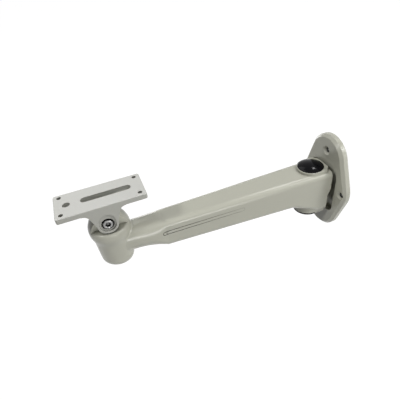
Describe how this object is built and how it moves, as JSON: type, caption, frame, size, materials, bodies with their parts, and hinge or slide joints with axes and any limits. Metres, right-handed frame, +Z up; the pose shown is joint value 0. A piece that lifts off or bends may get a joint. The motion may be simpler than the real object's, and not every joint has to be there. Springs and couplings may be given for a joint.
{
  "type": "camera wall bracket",
  "caption": "Cast wall bracket for a camera: a plate that screws to the wall, an arm that swings on an upright bolt, and a slotted platform that tilts at the arm's ball end.",
  "frame": {"origin": "centre of the wall plate's back face", "axes": "+X out from the wall along the arm, +Y to the arm's side, +Z up along the pivot bolt"},
  "size_m": [0.3225, 0.0846, 0.1409],
  "materials": {
    "cast_grey": "light grey powder coat on cast metal, satin",
    "cast_white": "off-white powder coat on cast metal, satin",
    "steel": "zinc-plated, turned",
    "cap_black": "glossy moulded"
  },
  "bodies": {
    "wall": {"wall_plate": "cast_grey"},
    "arm": {"arm": "cast_grey", "pivot_bolt": "steel", "pivot_washers": "steel", "pivot_spring_washer": "steel", "pivot_nut": "steel", "top_cap": "cap_black", "bottom_cap": "cap_black"},
    "platform": {"camera_platform": "cast_white", "tilt_bolt": "steel", "tilt_spring_washer": "steel", "tilt_nut": "steel"}
  },
  "joints": [
    {"name": "arm_pan", "type": "hinge", "parent": "wall", "child": "arm", "pos_m": [0.0294, 0, 0], "axis": [0, 0, 1], "range_deg": [-25, 25]},
    {"name": "platform_tilt", "type": "hinge", "parent": "arm", "child": "platform", "pos_m": [0.278, 0, 0.0522], "axis": [0, 1, 0], "range_deg": [-45, 60]}
  ]
}
